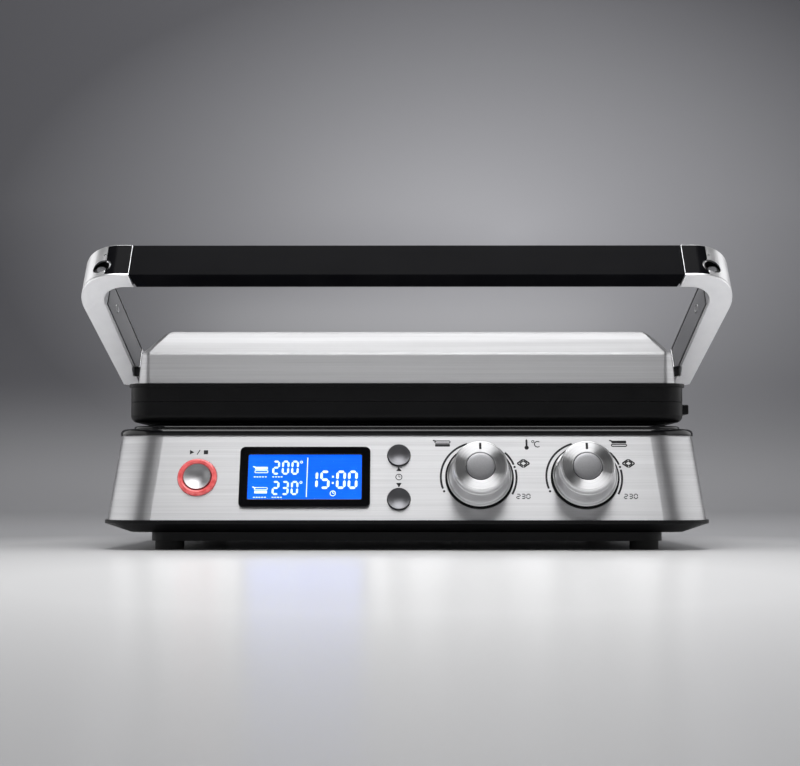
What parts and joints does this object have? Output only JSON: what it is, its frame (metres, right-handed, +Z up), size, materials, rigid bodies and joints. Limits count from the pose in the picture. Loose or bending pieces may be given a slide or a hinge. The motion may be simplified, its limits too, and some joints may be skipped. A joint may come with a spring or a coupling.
{
  "type": "contact grill",
  "caption": "Closed contact grill with a hinged steel lid, a wide leaning bail handle and a sloped steel panel with display, push buttons and dials.",
  "frame": {"origin": "centre of the bounding box's bottom face, on the worktop", "axes": "+X to the right along the handle, +Y to the rear hinge, +Z up"},
  "size_m": [0.4614, 0.3772, 0.2151],
  "materials": {
    "moulded_black": "fine moulded grain",
    "satin_black": "satin",
    "gloss_black": "polished",
    "brushed_steel": "brushed lengthways",
    "cast_silver": "satin plated casting",
    "grey_lining": "satin grey",
    "bright_metal": "plated",
    "turned_steel": "turned",
    "red_light": "lit from behind",
    "display_blue": "lit display",
    "clear_lens": "clear",
    "nonstick": "dark non-stick coating",
    "heater_tube": "oxidised",
    "bright_sheet": "plain sheet",
    "circuit_board": "coated board",
    "dark_part": "moulded",
    "foot_rubber": "matt",
    "black_steel": "satin black paint",
    "pale_nylon": "moulded"
  },
  "bodies": {
    "base": {"base_tub": "moulded_black", "bottom_cover": "moulded_black", "control_carrier": "moulded_black", "dial_bezel_left": "moulded_black", "dial_bezel_right": "moulded_black", "deck_frame": "gloss_black", "display_bezel": "gloss_black", "front_fascia": "brushed_steel", "bottom_screws": "turned_steel", "start_ring": "red_light", "display_module": "display_blue", "display_lens": "clear_lens", "lower_plate": "nonstick", "lower_heater": "heater_tube", "lower_reflector": "bright_sheet", "control_board": "circuit_board", "power_board": "circuit_board", "encoder_left": "dark_part", "encoder_right": "dark_part", "foot_front_left": "foot_rubber", "foot_front_right": "foot_rubber", "foot_rear_left": "foot_rubber", "foot_rear_right": "foot_rubber", "cord_gland": "foot_rubber", "hinge_tower_left": "black_steel", "hinge_tower_right": "black_steel"},
    "start_button_body": {"start_button": "bright_metal"},
    "timer_up_body": {"timer_up_button": "bright_metal"},
    "timer_down_body": {"timer_down_button": "bright_metal"},
    "dial_left_body": {"dial_left": "bright_metal", "dial_shaft_left": "turned_steel"},
    "dial_right_body": {"dial_right": "bright_metal", "dial_shaft_right": "turned_steel"},
    "dial_centre_left_body": {"dial_centre_left": "bright_metal"},
    "dial_centre_right_body": {"dial_centre_right": "bright_metal"},
    "lower_latch_body": {"lower_latch": "moulded_black"},
    "upper_latch_body": {"upper_latch": "moulded_black"},
    "tray": {"drip_tray": "bright_sheet"},
    "hinge_carriage": {"hinge_shaft": "turned_steel", "hinge_slider_left": "pale_nylon", "hinge_slider_right": "pale_nylon", "shaft_caps": "bright_metal"},
    "lid": {"lid_cover": "brushed_steel", "lid_shell": "moulded_black", "plate_surround": "moulded_black", "upper_plate": "nonstick", "upper_heater": "heater_tube", "upper_reflector": "bright_sheet", "hinge_arm_left": "black_steel", "hinge_arm_right": "black_steel", "arm_spacers": "moulded_black", "arm_screws": "turned_steel", "handle_arm_left": "cast_silver", "handle_arm_right": "cast_silver", "arm_liner_left": "grey_lining", "arm_liner_right": "grey_lining", "corner_inlay_left": "gloss_black", "corner_inlay_right": "gloss_black", "corner_screws": "turned_steel", "grip_bar": "satin_black"}
  },
  "joints": [
    {"name": "lid_float", "type": "slide", "parent": "base", "child": "hinge_carriage", "axis": [0, 0, 1], "range_m": [0, 0.012]},
    {"name": "lid_hinge", "type": "hinge", "parent": "hinge_carriage", "child": "lid", "pos_m": [0, 0.16288, 0.108], "axis": [-1, 0, 0], "range_deg": [0, 180]},
    {"name": "start_press", "type": "slide", "parent": "base", "child": "start_button_body", "axis": [0, 0.9272, -0.3746], "range_m": [0, 0.0014], "stiffness_N_per_m": 600},
    {"name": "timer_up_press", "type": "slide", "parent": "base", "child": "timer_up_body", "axis": [0, 0.9272, -0.3746], "range_m": [0, 0.0014], "stiffness_N_per_m": 600},
    {"name": "timer_down_press", "type": "slide", "parent": "base", "child": "timer_down_body", "axis": [0, 0.9272, -0.3746], "range_m": [0, 0.0014], "stiffness_N_per_m": 600},
    {"name": "dial_left_turn", "type": "hinge", "parent": "base", "child": "dial_left_body", "pos_m": [0.05001, -0.1636, 0.04975], "axis": [0, -0.9272, 0.3746], "range_deg": [-116, 116]},
    {"name": "dial_right_turn", "type": "hinge", "parent": "base", "child": "dial_right_body", "pos_m": [0.12251, -0.1636, 0.04975], "axis": [0, -0.9272, 0.3746], "range_deg": [-116, 116]},
    {"name": "dial_centre_left_press", "type": "slide", "parent": "dial_left_body", "child": "dial_centre_left_body", "axis": [0, 0.9272, -0.3746], "range_m": [0, 0.0014], "stiffness_N_per_m": 600},
    {"name": "dial_centre_right_press", "type": "slide", "parent": "dial_right_body", "child": "dial_centre_right_body", "axis": [0, 0.9272, -0.3746], "range_m": [0, 0.0014], "stiffness_N_per_m": 600},
    {"name": "lower_latch_press", "type": "slide", "parent": "base", "child": "lower_latch_body", "axis": [-1, 0, 0], "range_m": [0, 0.004], "stiffness_N_per_m": 500},
    {"name": "upper_latch_press", "type": "slide", "parent": "lid", "child": "upper_latch_body", "axis": [-1, 0, 0], "range_m": [0, 0.004], "stiffness_N_per_m": 500},
    {"name": "tray_slide", "type": "slide", "parent": "base", "child": "tray", "axis": [0, 1, 0], "range_m": [0, 0.14]}
  ]
}
